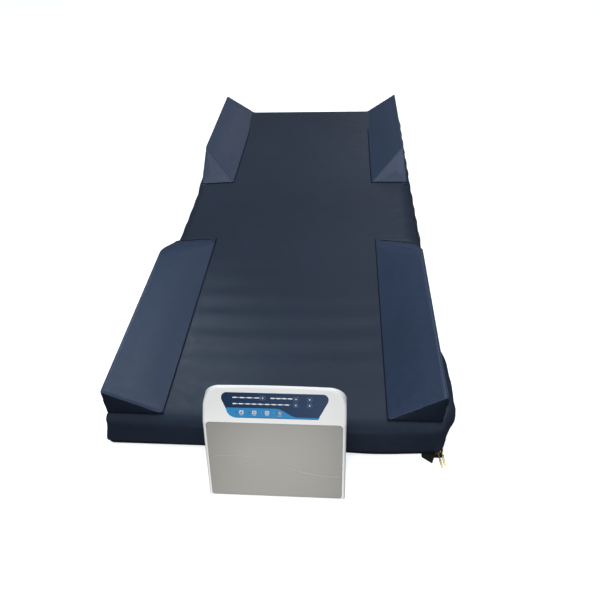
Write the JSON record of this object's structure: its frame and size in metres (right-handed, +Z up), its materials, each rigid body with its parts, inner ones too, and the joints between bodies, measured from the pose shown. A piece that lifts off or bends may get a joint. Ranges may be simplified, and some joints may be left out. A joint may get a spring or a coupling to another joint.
{
  "type": "pressure relief mattress",
  "caption": "Alternating-air pressure relief mattress with raised wedge side bolsters and a gap at the hips, and its free-standing control pump at the foot end.",
  "frame": {"origin": "centre of the mattress underside, on the surface that it lies on", "axes": "+X to the right seen from the foot end, +Y towards the head end, +Z up"},
  "size_m": [0.9234, 2.1734, 0.294],
  "materials": {
    "cover_fabric": "satin",
    "bolster_fabric": "satin",
    "base_fabric": "matte",
    "zip_tape": "matte",
    "cell_film": "satin",
    "foam": "matte",
    "tubing": "satin",
    "valve_plastic": "matte",
    "webbing": "matte",
    "red_webbing": "matte",
    "brass": "polished",
    "housing_white": "satin",
    "housing_grey": "satin",
    "panel_film": "satin",
    "lamp_window": "gloss",
    "key_cap": "satin",
    "circuit_board": "satin",
    "compressor_metal": "satin",
    "rubber_black": "matte",
    "motor_steel": "satin",
    "black_plastic": "satin",
    "filter_foam": "matte",
    "screw_steel": "polished"
  },
  "bodies": {
    "foot_section": {"top_cover_foot": "cover_fabric", "base_cover_foot": "base_fabric", "zip_tape_foot": "zip_tape", "air_cells_a_foot": "cell_film", "air_cells_b_foot": "cell_film", "manifold_hoses_foot": "tubing", "air_coupling": "valve_plastic", "foot_bolster_cover_left": "bolster_fabric", "foot_bolster_cover_right": "bolster_fabric", "foot_bolster_foams": "foam", "corner_strap": "webbing"},
    "head_section": {"top_cover_head": "cover_fabric", "base_cover_head": "base_fabric", "zip_tape_head": "zip_tape", "air_cells_a_head": "cell_film", "air_cells_b_head": "cell_film", "pillow_cells": "cell_film", "manifold_hoses_head": "tubing", "head_bolster_cover_left": "bolster_fabric", "head_bolster_cover_right": "bolster_fabric", "head_bolster_foams": "foam", "cpr_valve_body": "valve_plastic"},
    "pump": {"pump_front_housing": "housing_white", "pump_rear_housing": "housing_white", "pump_front_cover": "housing_grey", "panel_overlay": "panel_film", "panel_lamps": "lamp_window", "display_board": "circuit_board", "power_board": "circuit_board", "compressor": "compressor_metal", "compressor_mounts": "rubber_black", "valve_body": "valve_plastic", "valve_motor": "motor_steel", "internal_tubes": "tubing", "air_outlets": "black_plastic", "mains_inlet": "black_plastic", "air_filter": "filter_foam", "hook_brackets": "housing_white", "rubber_feet": "rubber_black", "housing_screws": "screw_steel"},
    "zip_slider_foot": {"zip_slider_foot": "brass"},
    "zip_pull_foot": {"zip_pull_foot": "brass"},
    "zip_slider_side": {"zip_slider_side": "brass"},
    "zip_pull_side": {"zip_pull_side": "brass"},
    "cpr_plug": {"cpr_plug": "red_webbing", "cpr_strap": "red_webbing"},
    "valve_rotor": {"valve_rotor": "valve_plastic"},
    "hook_left": {"hook_left": "housing_white"},
    "hook_right": {"hook_right": "housing_white"},
    "power_rocker": {"power_rocker": "black_plastic"},
    "filter_cover": {"filter_cover": "housing_grey"},
    "key_lock": {"key_lock": "key_cap"},
    "key_static": {"key_static": "key_cap"},
    "key_mode": {"key_mode": "key_cap"},
    "key_power": {"key_power": "key_cap"},
    "key_pressure": {"key_pressure": "key_cap"},
    "key_cycle_time": {"key_cycle_time": "key_cap"},
    "key_comfort": {"key_comfort": "key_cap"},
    "key_alarm_silence": {"key_alarm_silence": "key_cap"},
    "key_seat_inflate": {"key_seat_inflate": "key_cap"}
  },
  "joints": [
    {"name": "back_fold", "type": "hinge", "parent": "foot_section", "child": "head_section", "pos_m": [0, 0.1, 0.12], "axis": [1, 0, 0], "range_deg": [0, 60]},
    {"name": "zip_foot_slide", "type": "slide", "parent": "foot_section", "child": "zip_slider_foot", "axis": [-1, 0, 0], "range_m": [0, 0.86]},
    {"name": "zip_foot_pull", "type": "hinge", "parent": "zip_slider_foot", "child": "zip_pull_foot", "pos_m": [0.444, -1.0124, 0.0019], "axis": [0, 0, 1], "range_deg": [-70, 0]},
    {"name": "zip_side_slide", "type": "slide", "parent": "foot_section", "child": "zip_slider_side", "axis": [0, 1, 0], "range_m": [0, 1.08]},
    {"name": "zip_side_pull", "type": "hinge", "parent": "zip_slider_side", "child": "zip_pull_side", "pos_m": [0.4534, -1.005, 0.0019], "axis": [0, 0, 1], "range_deg": [0, 80]},
    {"name": "cpr_plug_pull", "type": "slide", "parent": "head_section", "child": "cpr_plug", "axis": [-1, 0, 0], "range_m": [0, 0.03]},
    {"name": "pump_lift", "type": "slide", "parent": "foot_section", "child": "pump", "axis": [0, 0, 1], "range_m": [0, 0.25]},
    {"name": "valve_spin", "type": "hinge", "parent": "pump", "child": "valve_rotor", "pos_m": [-0.045, -1.09, 0.02], "axis": [0, 0, 1], "continuous": true},
    {"name": "hook_left_fold", "type": "hinge", "parent": "pump", "child": "hook_left", "pos_m": [-0.073, -1.0225, 0.215], "axis": [-1, 0, 0], "range_deg": [0, 90]},
    {"name": "hook_right_fold", "type": "hinge", "parent": "pump", "child": "hook_right", "pos_m": [0.107, -1.0225, 0.215], "axis": [-1, 0, 0], "range_deg": [0, 90]},
    {"name": "power_rocker_tilt", "type": "hinge", "parent": "pump", "child": "power_rocker", "pos_m": [-0.1525, -1.085, 0.082], "axis": [0, 1, 0], "range_deg": [0, 14]},
    {"name": "filter_cover_off", "type": "slide", "parent": "pump", "child": "filter_cover", "axis": [1, 0, 0], "range_m": [0, 0.03]},
    {"name": "key_lock_press", "type": "slide", "parent": "pump", "child": "key_lock", "axis": [0, 0.7831, -0.6219], "range_m": [0, 0.0005], "stiffness_N_per_m": 400, "springref_m": -0.001},
    {"name": "key_static_press", "type": "slide", "parent": "pump", "child": "key_static", "axis": [0, 0.7831, -0.6219], "range_m": [0, 0.0005], "stiffness_N_per_m": 400, "springref_m": -0.001},
    {"name": "key_mode_press", "type": "slide", "parent": "pump", "child": "key_mode", "axis": [0, 0.7831, -0.6219], "range_m": [0, 0.0005], "stiffness_N_per_m": 400, "springref_m": -0.001},
    {"name": "key_power_press", "type": "slide", "parent": "pump", "child": "key_power", "axis": [0, 0.7831, -0.6219], "range_m": [0, 0.0005], "stiffness_N_per_m": 400, "springref_m": -0.001},
    {"name": "key_pressure_press", "type": "slide", "parent": "pump", "child": "key_pressure", "axis": [0, 0.7831, -0.6219], "range_m": [0, 0.0005], "stiffness_N_per_m": 400, "springref_m": -0.001},
    {"name": "key_cycle_time_press", "type": "slide", "parent": "pump", "child": "key_cycle_time", "axis": [0, 0.7831, -0.6219], "range_m": [0, 0.0005], "stiffness_N_per_m": 400, "springref_m": -0.001},
    {"name": "key_comfort_press", "type": "slide", "parent": "pump", "child": "key_comfort", "axis": [0, 0.7831, -0.6219], "range_m": [0, 0.0005], "stiffness_N_per_m": 400, "springref_m": -0.001},
    {"name": "key_alarm_silence_press", "type": "slide", "parent": "pump", "child": "key_alarm_silence", "axis": [0, 0.7831, -0.6219], "range_m": [0, 0.0005], "stiffness_N_per_m": 400, "springref_m": -0.001},
    {"name": "key_seat_inflate_press", "type": "slide", "parent": "pump", "child": "key_seat_inflate", "axis": [0, 0.7831, -0.6219], "range_m": [0, 0.0005], "stiffness_N_per_m": 400, "springref_m": -0.001}
  ]
}
